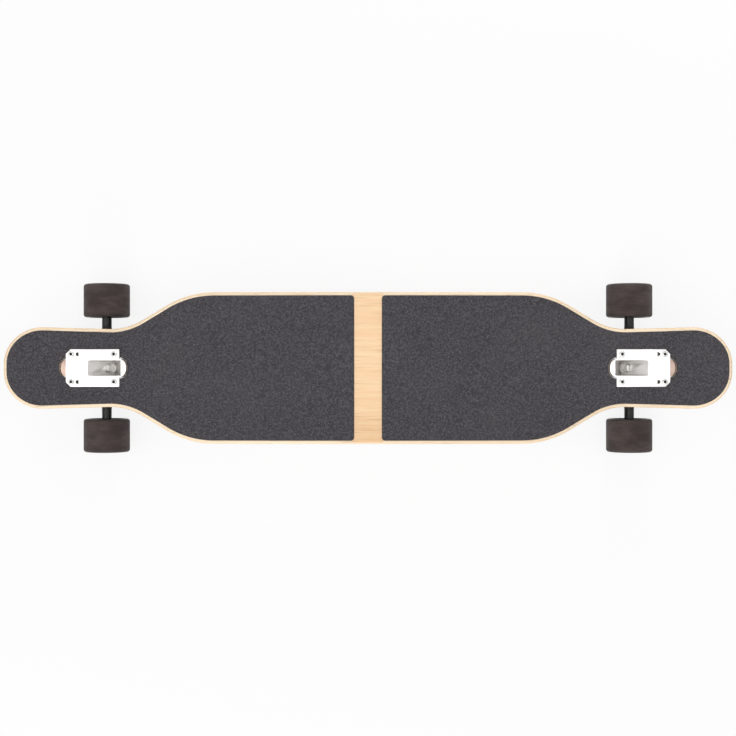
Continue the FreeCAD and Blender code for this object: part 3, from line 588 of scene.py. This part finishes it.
def extent(node, place):
    """A solid's lowest and highest corners in a frame."""
    inverse = place.inverted()
    corners = [inverse @ vertex.co for vertex in nodes[node].data.vertices]
    return [Vector([limit(corner[axis] for corner in corners) for axis in range(3)]) for limit in (min, max)]


def lathe(name, outline, turns=48):
    """A piece spun about Z from an outline of (radius, height) points, closed along the axis or by itself."""
    bpy.ops.object.select_all(action="DESELECT")
    bpy.ops.mesh.primitive_plane_add(size=1)
    piece = bpy.context.active_object
    piece.name = name
    bpy.ops.object.mode_set(mode="EDIT")
    bpy.ops.mesh.select_all(action="SELECT")
    bpy.ops.mesh.merge(type="CENTER")
    bpy.ops.transform.translate(value=(outline[0][0], 0, outline[0][1]))
    for here, there in zip(outline, outline[1:]):
        step = (there[0] - here[0], 0, there[1] - here[1])
        bpy.ops.mesh.extrude_vertices_move(TRANSFORM_OT_translate={"value": step})
    bpy.ops.mesh.select_all(action="SELECT")
    bpy.ops.mesh.spin(steps=turns, angle=math.tau, center=(0, 0, 0), axis=(0, 0, 1))
    bpy.ops.mesh.select_all(action="SELECT")
    bpy.ops.mesh.remove_doubles(threshold=SPIN_SEAM)
    bpy.ops.mesh.normals_make_consistent(inside=False)
    bpy.ops.object.mode_set(mode="OBJECT")
    return piece


def combine(piece, other, operation):
    """Cuts, joins or meets a piece with another one, which is used up."""
    select_only(piece)
    meeting = piece.modifiers.new("meeting", "BOOLEAN")
    meeting.operation = operation
    meeting.object = other
    bpy.ops.object.modifier_apply(modifier=meeting.name)
    bpy.data.objects.remove(other)


def hexagon(name, flats, low, high):
    """A hexagon bar along Z, with the corners of both ends turned off."""
    corner = flats / math.sqrt(3)
    face = flats * HEXAGON_FACE
    chamfer = (corner - face) * math.tan(HEXAGON_CHAMFER)
    bpy.ops.object.select_all(action="DESELECT")
    bpy.ops.mesh.primitive_cylinder_add(vertices=6, radius=corner, depth=high - low, location=(0, 0, 0))
    bar = bpy.context.active_object
    bar.name = name
    bar.data.transform(Matrix.Translation((0, 0, (low + high) / 2)))
    wide = corner * HEXAGON_CLEAR
    turning = lathe("turning", [(0, low), (face, low), (wide, low + chamfer),
                                (wide, high - chamfer), (face, high), (0, high)])
    combine(bar, turning, "INTERSECT")
    return bar


def thread(radius, start, length, pitch, direction):
    """Outline points of a thread's ridges from a start, along or against Z."""
    points = []
    for ridge in range(int(length / pitch)):
        points.append((radius - THREAD_DEPTH, start + direction * ridge * pitch))
        points.append((radius, start + direction * (ridge + 0.5) * pitch))
    return points


def stand_for(piece, node, finish):
    """Sets a modelled piece in the place of a solid, on the same body."""
    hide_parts(node)
    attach(piece, nodes[node]["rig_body"])
    dress(piece, finish)


KINGPIN_RADIUS = 0.00475
KINGPIN_HEAD = 0.006
KINGPIN_NECK = 0.001
KINGPIN_THREAD = 0.012
KINGPIN_PITCH = 0.0015
KINGPIN_TIP = 0.0008
KINGPIN_CHAMFER = 0.0010
BLOOM_DEPTH = 0.00003
ZINC_GREY = colour(208, 207, 205)
ZINC_BRIGHT = colour(240, 239, 237)
ZINC_STAIN = colour(180, 177, 172)

zinc = Finish("zinc_plated_steel", Metallic=1.0)
bloom = zinc.noise(240, detail=4)
stain = zinc.noise(45, detail=3)
zinc_tone = zinc.blend(bloom.step(0.3, 0.7), ZINC_GREY, ZINC_BRIGHT)
zinc.shade(Base_Color=zinc.blend(stain.step(0.5, 0.8) * 0.35, zinc_tone, ZINC_STAIN),
           Roughness=0.24 + bloom * 0.16, Normal=zinc.bump(bloom, BLOOM_DEPTH))
for end in ENDS:
    low, high = extent(end + "_kingpin", kingpin_frame(end))
    tail = low.z + KINGPIN_TIP
    neck = high.z - KINGPIN_NECK
    outline = [(0, low.z), (KINGPIN_RADIUS - KINGPIN_CHAMFER, low.z)]
    outline += thread(KINGPIN_RADIUS, tail, KINGPIN_THREAD, KINGPIN_PITCH, 1)
    outline += [(KINGPIN_RADIUS, tail + KINGPIN_THREAD), (KINGPIN_RADIUS, neck), (0, neck)]
    kingpin = lathe(end + "_kingpin_bolt", outline)
    combine(kingpin, hexagon("head", 2 * high.x, high.z - KINGPIN_HEAD, high.z), "UNION")
    kingpin.data.transform(kingpin_frame(end))
    smooth(kingpin)
    stand_for(kingpin, end + "_kingpin", zinc)
    for part in ("boardside_washer", "roadside_washer", "speed_washers"):
        dress(nodes["%s_%s" % (end, part)], zinc)

# Lock nuts.
# Zinc-plated hexagon nuts on the kingpins, axles and deck bolts. A round collar is crimped over a nylon ring
# that grips the thread.

COLLAR_START = 0.70
COLLAR_REACH = 0.46
COLLAR_ROUND = 0.05
COLLAR_CRIMP = 0.3
NYLON_WALL = 0.0009
NYLON_LIP = 0.0003
NYLON_BEVEL = 0.0002


def lock_nut(name, flats, height, bore):
    """A nut standing on its seat with its collar up, and the nylon ring in it."""
    shoulder = height * COLLAR_START
    rim = flats * COLLAR_REACH
    round_off = flats * COLLAR_ROUND
    crimp = round_off * COLLAR_CRIMP
    nut = hexagon(name, flats, 0, shoulder)
    collar = lathe("collar", [(0, shoulder / 2), (rim, shoulder / 2), (rim, height - round_off),
                              (rim - crimp, height - crimp), (rim - round_off, height), (0, height)])
    combine(nut, collar, "UNION")
    pocket = bore + NYLON_WALL
    lip = shoulder + NYLON_LIP
    drill = lathe("drill", [(0, -height), (bore, -height), (bore, lip), (pocket, lip), (pocket, 2 * height),
                            (0, 2 * height)])
    combine(nut, drill, "DIFFERENCE")
    smooth(nut)
    top = height - NYLON_BEVEL
    ring = lathe(name + "_ring", [(bore, lip), (pocket, lip), (pocket, top), (bore + NYLON_BEVEL, top),
                                  (bore, lip)])
    smooth(ring)
    return nut, ring


def set_of(master, name, places):
    """Copies of a piece at several places, joined into one."""
    copies = []
    for place in places:
        twin = bpy.data.objects.new(name, master.data.copy())
        bpy.context.scene.collection.objects.link(twin)
        twin.data.transform(place)
        copies.append(twin)
    select_only(copies[0])
    for twin in copies:
        twin.select_set(True)
    if len(copies) > 1:
        bpy.ops.object.join()
    return copies[0]


NYLON_GREY = colour(196, 194, 188)
NYLON_PALE = colour(222, 220, 214)

nylon = Finish("nylon_ring", Roughness=0.45, Subsurface_Weight=0.2, Subsurface_Scale=0.001)
nylon_haze = nylon.noise(500, detail=2)
nylon.shade(Base_Color=nylon.blend(nylon_haze, NYLON_GREY, NYLON_PALE))


def fit_nuts(node, nut_and_ring, places):
    """Puts nuts and their nylon rings in the place of a node's solids."""
    nut, ring = nut_and_ring
    stand_for(set_of(nut, node + "_hexagons", places), node, zinc)
    rings = set_of(ring, node + "_rings", places)
    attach(rings, nodes[node]["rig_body"])
    dress(rings, nylon)


KINGPIN_NUT_BORE = 0.0049
AXLE_NUT_BORE = 0.00405
AXLE_NUT_HEIGHT = 0.007
DECK_NUT_BORE = 0.00245
DECK_NUT_FLATS = 0.0095
FACING_DOWN = Matrix.Rotation(math.pi, 4, "X")

kingpin_low, kingpin_high = extent("front_kingpin_nut", kingpin_frame("front"))
kingpin_nut = lock_nut("kingpin_nut", 2 * kingpin_high.x, kingpin_high.z - kingpin_low.z, KINGPIN_NUT_BORE)
axle_low, axle_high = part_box("front_axle_nuts")
axle_nut = lock_nut("axle_nut", axle_high.x - axle_low.x, AXLE_NUT_HEIGHT, AXLE_NUT_BORE)
deck_nut_low, deck_nut_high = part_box("front_deck_nuts")
deck_nut = lock_nut("deck_nut", DECK_NUT_FLATS, deck_nut_high.z - deck_nut_low.z, DECK_NUT_BORE)


def bolt_centres(end):
    """The middles of a truck's four deck bolts."""
    low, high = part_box(end + "_deck_nuts")
    to_flat = DECK_NUT_FLATS / 2
    to_corner = DECK_NUT_FLATS / math.sqrt(3)
    return [Vector((x, y, 0)) for x in (low.x + to_flat, high.x - to_flat)
            for y in (low.y + to_corner, high.y - to_corner)]


for end in ENDS:
    seat = Matrix.Translation((0, 0, kingpin_high.z))
    fit_nuts(end + "_kingpin_nut", kingpin_nut, [kingpin_frame(end) @ seat @ FACING_DOWN])
    low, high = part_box(end + "_axle_nuts")
    middle_x = (low.x + high.x) / 2
    middle_z = (low.z + high.z) / 2
    facing_out = [Matrix.Translation((middle_x, side * (high.y - AXLE_NUT_HEIGHT), middle_z))
                  @ Matrix.Rotation(-side * math.pi / 2, 4, "X") for side in (1, -1)]
    fit_nuts(end + "_axle_nuts", axle_nut, facing_out)
    below_deck = Matrix.Translation((0, 0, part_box(end + "_deck_nuts")[1].z))
    fit_nuts(end + "_deck_nuts", deck_nut,
             [Matrix.Translation(centre) @ below_deck @ FACING_DOWN for centre in bolt_centres(end)])
for nut, ring in (kingpin_nut, axle_nut, deck_nut):
    bpy.data.objects.remove(nut)
    bpy.data.objects.remove(ring)

# Deck bolts.
# Four button-head screws hold each baseplate through the deck. The head is bright zinc, its hexagon socket is
# coloured near black as painted shade, and the screw is coloured near black below the flange's top.

BOLT_SHANK = 0.0024
BOLT_TIP = 0.0005
BOLT_THREAD = 0.008
BOLT_PITCH = 0.0008
BOLT_PLAIN_FROM = 0.0090
BOLT_HEAD = 0.0045
BOLT_RIM = 0.0012
BOLT_TURNS = 40
SOCKET_FLATS = 0.0042
SOCKET_DEPTH = 0.0020
SOCKET_MOUTH = 0.0003
SOCKET_BLUR = 0.0002
THREAD_BLUR = 0.0010
HEAD_GREY = colour(190, 189, 187)
HEAD_BRIGHT = colour(224, 223, 220)
SOCKET_SHADE_AND_DARK_THREAD = colour(24, 23, 23)

bolt_low, bolt_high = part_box("front_deck_bolts")
flange_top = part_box("front_baseplate")[1].z
rim_top = flange_top + BOLT_RIM
arc = [math.radians(degrees) for degrees in range(0, 90, 10)]
dome = [(BOLT_HEAD * math.cos(turn), rim_top + (bolt_high.z - rim_top) * math.sin(turn)) for turn in arc]
outline = [(0, bolt_low.z), (BOLT_SHANK - BOLT_TIP, bolt_low.z)]
outline += thread(BOLT_SHANK, bolt_low.z + BOLT_TIP, BOLT_THREAD, BOLT_PITCH, 1)
outline += [(BOLT_SHANK, bolt_low.z + BOLT_PLAIN_FROM), (BOLT_SHANK, flange_top), (BOLT_HEAD, flange_top)]
outline += dome + [(0, bolt_high.z)]
bolt = lathe("deck_bolt", outline, turns=BOLT_TURNS)
socket = hexagon("socket", SOCKET_FLATS, bolt_high.z - SOCKET_DEPTH, bolt_high.z + SOCKET_DEPTH)
combine(bolt, socket, "DIFFERENCE")
smooth(bolt)

screw = Finish("screw_steel")
screw_x, screw_y, screw_z = screw.axes()
corner_bolt = bolt_centres("front")[-1]
bolt_middle = (bolt_low.x + bolt_high.x) / 2
along_bolt = abs(abs(screw_x) - bolt_middle) - abs(corner_bolt.x - bolt_middle)
across_bolt = abs(screw_y) - abs(corner_bolt.y)
socket_reach = SOCKET_FLATS / math.sqrt(3)
socket_top = bolt_high.z - SOCKET_MOUTH
# Painted shade in the hexagon socket, and a near-black colour on the screw below the flange's top; both are
# less metal and rougher.
socket_shade = ((1 - span(along_bolt, across_bolt).step(socket_reach, socket_reach + SOCKET_BLUR))
             * (1 - screw_z.step(socket_top - SOCKET_BLUR, socket_top)))
socket_shade_and_dark_thread = socket_shade.most(1 - screw_z.step(flange_top - THREAD_BLUR, flange_top))
plating = screw.noise(300, detail=3)
head_tone = screw.blend(plating.step(0.3, 0.7), HEAD_GREY, HEAD_BRIGHT)
screw.shade(Base_Color=screw.blend(socket_shade_and_dark_thread, head_tone, SOCKET_SHADE_AND_DARK_THREAD),
            Roughness=0.28 + plating * 0.15 + socket_shade_and_dark_thread * 0.2, Metallic=1 - socket_shade_and_dark_thread * 0.5)
for end in ENDS:
    places = [Matrix.Translation(centre) for centre in bolt_centres(end)]
    stand_for(set_of(bolt, end + "_deck_screws", places), end + "_deck_bolts", screw)
bpy.data.objects.remove(bolt)

# Bushings.
# Two wine-red cast urethane bushings on each kingpin, a barrel above the hanger's ring and a cone below it.
# They are squeezed between ring and cup washers, and in the real truck shear as the hanger turns; here each
# keeps one shape.

SPECK_DEPTH = 0.00004
WINE_DARK = colour(104, 12, 22)
WINE_RED = colour(140, 22, 32)
WINE_SPECK = colour(72, 8, 16)

urethane = Finish("red_urethane", Subsurface_Weight=0.12, Subsurface_Scale=0.002)
cloud = urethane.noise(120, detail=3)
speck = urethane.noise(900, detail=2).step(0.60, 0.75)
red_tone = urethane.blend(cloud, WINE_DARK, WINE_RED)
urethane.shade(Base_Color=urethane.blend(speck * 0.3, red_tone, WINE_SPECK),
               Roughness=0.30 + cloud * 0.15, Normal=urethane.bump(speck, SPECK_DEPTH))

BUSHING_BORE = 0.0049
BUSHING_RINGS = 9
BUSHING_TURNS = 56
BUSHING_ROUNDING = 3
BARREL_ROUND = 0.0016
CONE_ROUND = 0.0008
CONE_FOOT = 0.0100
CONE_BAND = 0.0045


def divided(here, there):
    """The points of a straight run from one point to another, in equal steps."""
    shares = [step / BUSHING_RINGS for step in range(BUSHING_RINGS + 1)]
    return [(here[0] + (there[0] - here[0]) * share, here[1] + (there[1] - here[1]) * share)
            for share in shares]


def cast_bushing(node, name, wall, rounding, place):
    """A bushing spun from the outline of its wall, which runs up the kingpin."""
    bottom = (BUSHING_BORE, wall[0][1])
    top = (BUSHING_BORE, wall[-1][1])
    piece = lathe(name, [bottom] + wall + divided(top, bottom), turns=BUSHING_TURNS)
    round_edges(piece, rounding, segments=BUSHING_ROUNDING)
    piece.data.transform(place)
    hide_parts(node)
    dress(piece, urethane)
    return piece


for end in ENDS:
    place = kingpin_frame(end)
    low, high = extent(end + "_boardside_bushing", place)
    wall = divided((high.x, low.z), (high.x, high.z))
    barrel = cast_bushing(end + "_boardside_bushing", end + "_barrel_bushing", wall, BARREL_ROUND, place)
    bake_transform(barrel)
    low, high = extent(end + "_roadside_bushing", place)
    wall = divided((CONE_FOOT, low.z), (high.x, high.z - CONE_BAND)) + [(high.x, high.z)]
    cone = cast_bushing(end + "_roadside_bushing", end + "_cone_bushing", wall, CONE_ROUND, place)
    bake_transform(cone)

# Pivot cups.
# An amber urethane cup pressed into each baseplate's boss, in which the hanger's pivot pin turns.
# Moulded in one piece, with softened edges.

CUP_EDGE = 0.0005
HAZE_DEPTH = 0.00005
AMBER_DARK = colour(126, 68, 38)
AMBER_PALE = colour(160, 96, 60)

amber = Finish("amber_urethane", Subsurface_Weight=0.15, Subsurface_Scale=0.002)
haze = amber.noise(120, detail=3)
amber.shade(Base_Color=amber.blend(haze, AMBER_DARK, AMBER_PALE),
            Roughness=0.35 + haze * 0.15, Normal=amber.bump(haze, HAZE_DEPTH))
for end in ENDS:
    cup = stand_in(end + "_pivot_cup", end + "_pivot_liner")
    soften(cup, CUP_EDGE)
    dress(cup, amber)

# Axles.
# A plain steel rod through each hanger, with a rolled thread and a chamfer at both ends.
# Turned and left bare, and dull where it shows.

AXLE_THREAD = 0.014
AXLE_PITCH = 0.00125
AXLE_TIP = 0.0006
AXLE_CHAMFER = 0.0009
STEEL_DARK = colour(70, 68, 67)
STEEL_PALE = colour(120, 118, 117)

axle_steel = Finish("turned_steel", Metallic=1.0)
turning_marks = axle_steel.noise(300, (1, 6, 1), detail=3)
axle_steel.shade(Base_Color=axle_steel.blend(turning_marks, STEEL_DARK, STEEL_PALE),
                 Roughness=0.30 + turning_marks * 0.15)
for end in ENDS:
    low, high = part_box(end + "_axle")
    radius = (high.x - low.x) / 2
    thread_from = high.y - AXLE_TIP
    half = [(0, high.y), (radius - AXLE_CHAMFER, high.y)]
    half += thread(radius, thread_from, AXLE_THREAD, AXLE_PITCH, -1)
    half += [(radius, thread_from - AXLE_THREAD)]
    axle = lathe(end + "_axle_rod", half + [(reach, -level) for reach, level in reversed(half)])
    axle.data.transform(Matrix.Translation(((low.x + high.x) / 2, 0, (low.z + high.z) / 2))
                        @ Matrix.Rotation(math.pi / 2, 4, "X"))
    smooth(axle)
    stand_for(axle, end + "_axle", axle_steel)

# Wheels.
# Black urethane tyres cast round a moulded core. The tread is ground matte and grey, and the sides keep
# the gloss of the mould. Two sealed ball bearings are pressed into each core.

WHEEL_PLACE = joints["front_left_wheel_spin"]["pos_m"]
TREAD_START = 0.0325
TREAD_BLUR = 0.0018
TREAD_DEPTH = 0.00015
TYRE_GLOSS = colour(8, 7, 7)
TREAD_GREY = colour(64, 55, 54)
TREAD_PALE = colour(86, 76, 74)
TREAD_DARK = colour(53, 46, 44)

tyre_finish = Finish("cast_urethane_tyre", Specular_IOR_Level=0.12, Coat_Roughness=0.05,
                     Sheen_Weight=0.1, Sheen_Roughness=0.5)
tyre_x, tyre_z = tyre_finish.axes()[::2]
from_axle = span(abs(tyre_x) - WHEEL_PLACE[0], tyre_z - WHEEL_PLACE[2])
tread = from_axle.step(TREAD_START, TREAD_START + TREAD_BLUR)
ground_in = tyre_finish.noise(900, (0.08, 1, 0.08), detail=4, roughness=0.65)
smear = tyre_finish.noise(60, (0.5, 1, 0.5), detail=3)
tread_tone = tyre_finish.blend(smear.step(0.3, 0.7), TREAD_GREY, TREAD_PALE)
tread_tone = tyre_finish.blend(ground_in.step(0.35, 0.65) * 0.5, tread_tone, TREAD_DARK)
tyre_finish.shade(Base_Color=tyre_finish.blend(tread, TYRE_GLOSS, tread_tone),
                  Roughness=0.11 + tread * 0.55 + smear * 0.05, Coat_Weight=0.25 - tread * 0.25,
                  Normal=tyre_finish.bump(ground_in * tread, TREAD_DEPTH))

BEAD_DEPTH = 0.00005
CORE_BLACK = colour(12, 11, 11)
CORE_GREY = colour(20, 19, 19)

core_finish = Finish("moulded_core", Specular_IOR_Level=0.2, Roughness=0.4)
bead = core_finish.noise(700, detail=2)
core_finish.shade(Base_Color=core_finish.blend(bead, CORE_BLACK, CORE_GREY),
                  Normal=core_finish.bump(bead, BEAD_DEPTH))

SEAL_BLACK = colour(12, 12, 12)
SEAL_GREY = colour(24, 23, 23)
BALL_GREY = colour(188, 188, 190)
BALL_BRIGHT = colour(218, 218, 219)
RACE_BLACK = colour(20, 20, 20)
RACE_GREY = colour(36, 35, 35)

seal_finish = Finish("bearing_seal", Specular_IOR_Level=0.2, Roughness=0.45)
seal_haze = seal_finish.noise(500, detail=2)
seal_finish.shade(Base_Color=seal_finish.blend(seal_haze, SEAL_BLACK, SEAL_GREY))
bearing_steel = Finish("bearing_steel", Metallic=1.0)
polish = bearing_steel.noise(200, detail=2)
bearing_steel.shade(Base_Color=bearing_steel.blend(polish, BALL_GREY, BALL_BRIGHT),
                    Roughness=0.16 + polish * 0.10)
race_finish = Finish("blackened_race", Metallic=1.0)
race_haze = race_finish.noise(300, detail=2)
race_finish.shade(Base_Color=race_finish.blend(race_haze, RACE_BLACK, RACE_GREY),
                  Roughness=0.30 + race_haze * 0.10)
for end in ENDS:
    for part in ("bearing_spacers", "bearing_inner_races"):
        dress(nodes["%s_%s" % (end, part)], bearing_steel)
    for side in ("left", "right"):
        wheel = "%s_%s_" % (end, side)
        dress(nodes[wheel + "tyre"], tyre_finish)
        dress(nodes[wheel + "core"], core_finish)
        dress(nodes[wheel + "bearing_shields"], seal_finish)
        dress(nodes[wheel + "bearing_outer_races"], race_finish)
        dress(nodes[wheel + "bearing_balls"], bearing_steel)

# Studio.
# A white floor that shows from above only, even daylight with a broad soft sun, two strips overhead and
# two low boxes that light the board's sides. The camera looks straight down on the middle of the board.

FLOOR_SIZE = 400
FLOOR_GREY = (0.88, 0.88, 0.88, 1)
FLOOR_PALE = (0.90, 0.90, 0.90, 1)
FLOOR_WHITE = 0.85
FLOOR_NEAR = 0.5
FLOOR_FAR = 1.6

bpy.ops.object.select_all(action="DESELECT")
bpy.ops.mesh.primitive_plane_add(size=FLOOR_SIZE)
floor = bpy.context.active_object
floor.name = "floor"
paper = Finish("floor_paper", Roughness=0.9, Specular_IOR_Level=0.0)
paper_tone = paper.noise(3, detail=2)
paper.shade(Base_Color=paper.blend(paper_tone, FLOOR_GREY, FLOOR_PALE))
white = paper.node("Emission", None, {"Strength": 1.0})
clear = paper.node("BsdfTransparent")
camera_ray = paper.node("LightPath", output="Is Camera Ray")
underneath = paper.node("NewGeometry", output="Backfacing")
lit = Value(paper, paper.shader.outputs[0])
floor_x, floor_y = paper.axes()[:2]
away = span(floor_x, floor_y).step(FLOOR_NEAR, FLOOR_FAR)
whiteness = camera_ray * (FLOOR_WHITE + away * (1 - FLOOR_WHITE))
bright = paper.node("MixShader", None, {0: whiteness, 1: lit, 2: white})
one_sided = paper.node("MixShader", None, {0: underneath, 1: bright, 2: clear})
paper.feed(paper.tree.nodes["Material Output"].inputs["Surface"], one_sided)
floor.data.materials.append(paper.material)

# The backdrop is white to the camera and in reflections, and lights the board more softly.
DAYLIGHT = 0.54
world = bpy.data.worlds.new("studio")
bpy.context.scene.world = world
world.use_nodes = True
sky = Nodes(world.node_tree)
from_camera, reflected, passed = sky.node(
    "LightPath", output=("Is Camera Ray", "Is Glossy Ray", "Is Transmission Ray"))
shown = from_camera.most(reflected).most(passed)
background = sky.tree.nodes["Background"]
sky.feed(background.inputs["Color"], (1, 1, 1, 1))
sky.feed(background.inputs["Strength"], DAYLIGHT + shown * (1 - DAYLIGHT))

middle = (cad_low + cad_high) / 2


def lamp(name, kind, place, power, **settings):
    """A lamp that faces the middle of the board."""
    light = bpy.data.lights.new(name, kind)
    light.energy = power
    for setting, content in settings.items():
        setattr(light, setting, content)
    holder = bpy.data.objects.new(name, light)
    holder.location = place
    holder.rotation_euler = (middle - Vector(place)).to_track_quat("-Z", "Y").to_euler()
    bpy.context.scene.collection.objects.link(holder)


STRIP = {"shape": "RECTANGLE", "size": 0.16, "size_y": 2.0}
BOX_SIZE = 0.3
SUN_SPREAD = math.radians(50)
lamp("sun", "SUN", (-1.0, -1.4, 3.2), 0.55, angle=SUN_SPREAD)
lamp("left_strip", "AREA", (-1.25, 0, 2.0), 6.5, **STRIP)
lamp("right_strip", "AREA", (1.25, 0, 2.0), 5, **STRIP)
lamp("front_box", "AREA", (-0.35, -1.9, 0.5), 12, size=BOX_SIZE)
lamp("back_box", "AREA", (0.4, 1.9, 0.5), 12, size=BOX_SIZE)

CAMERA_HEIGHT = 2.29
CAMERA_LENS = 72
lens = bpy.data.cameras.new("camera")
lens.lens = CAMERA_LENS
camera = bpy.data.objects.new("camera", lens)
camera.location = (middle.x, middle.y, CAMERA_HEIGHT)
bpy.context.scene.collection.objects.link(camera)
bpy.context.scene.camera = camera
bpy.context.scene.view_settings.view_transform = "Standard"
